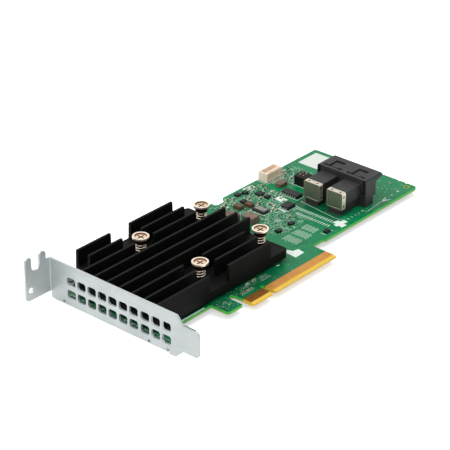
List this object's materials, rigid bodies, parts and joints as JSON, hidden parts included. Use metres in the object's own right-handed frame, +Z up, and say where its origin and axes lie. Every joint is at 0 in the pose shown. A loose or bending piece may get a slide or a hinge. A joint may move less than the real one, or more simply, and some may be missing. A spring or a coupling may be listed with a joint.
{
  "type": "raid controller card",
  "caption": "Low-profile drive controller card with a vented bracket, keyed edge contacts, a finned heatsink on spring screws and a stacked two-port cable housing.",
  "frame": {"origin": "middle of the key notch on the tip line of the edge contacts, on the component side of the board", "axes": "+X along the board away from the bracket, +Y from the edge contacts towards the bracket's screw tab, +Z up from the component side"},
  "size_m": [0.1819, 0.0794, 0.0226],
  "materials": {
    "board_laminate": "green solder mask over glass laminate, satin",
    "gold_contact": "thin gold plate",
    "bracket_steel": "bright nickel-plated sheet",
    "screw_steel": "plated steel",
    "black_aluminium": "black anodised, matt",
    "nickel_screw": "nickel-plated brass",
    "spring_steel": "plated spring wire",
    "package_laminate": "dark green laminate",
    "lid_nickel": "nickel-plated lid",
    "thermal_pad": "soft grey pad",
    "dark_plastic": "moulded, satin",
    "black_plastic": "moulded, satin",
    "shield_nickel": "nickel-plated shell",
    "ivory_plastic": "moulded, satin",
    "tinned_lead": "tinned",
    "ferrite": "moulded ferrite, matt",
    "chip_black": "moulded epoxy",
    "dark_ceramic": "dark ceramic",
    "tantalum_yellow": "moulded epoxy",
    "tan_ceramic": "tan ceramic with tinned ends",
    "label_paper": "blank white label"
  },
  "bodies": {
    "root": {"circuit_board": "board_laminate", "edge_contacts": "gold_contact", "bracket": "bracket_steel", "bracket_screws": "screw_steel", "heatsink": "black_aluminium", "clamp_screws": "nickel_screw", "clamp_springs": "spring_steel", "clamp_nuts": "screw_steel", "controller_package": "package_laminate", "controller_lid": "lid_nickel", "thermal_pad": "thermal_pad", "port_housing": "dark_plastic", "port_body_1": "dark_plastic", "port_body_2": "dark_plastic", "port_shield_1": "shield_nickel", "port_shield_2": "shield_nickel", "port_tongues": "black_plastic", "port_tails": "gold_contact", "battery_header": "ivory_plastic", "battery_leads": "tinned_lead", "pin_header": "black_plastic", "header_pins": "gold_contact", "power_inductor_1": "ferrite", "power_inductor_2": "ferrite", "small_inductor": "ferrite", "logic_chip": "chip_black", "logic_chip_leads": "tinned_lead", "memory_chip": "chip_black", "memory_chip_leads": "tinned_lead", "regulator_chip": "chip_black", "transistors": "chip_black", "oscillator": "dark_ceramic", "oscillator_lid": "lid_nickel", "tantalum_capacitors": "tantalum_yellow", "ceramic_capacitors": "tan_ceramic", "resistors": "dark_ceramic", "plated_rings": "gold_contact", "blank_label": "label_paper"}
  },
  "joints": []
}
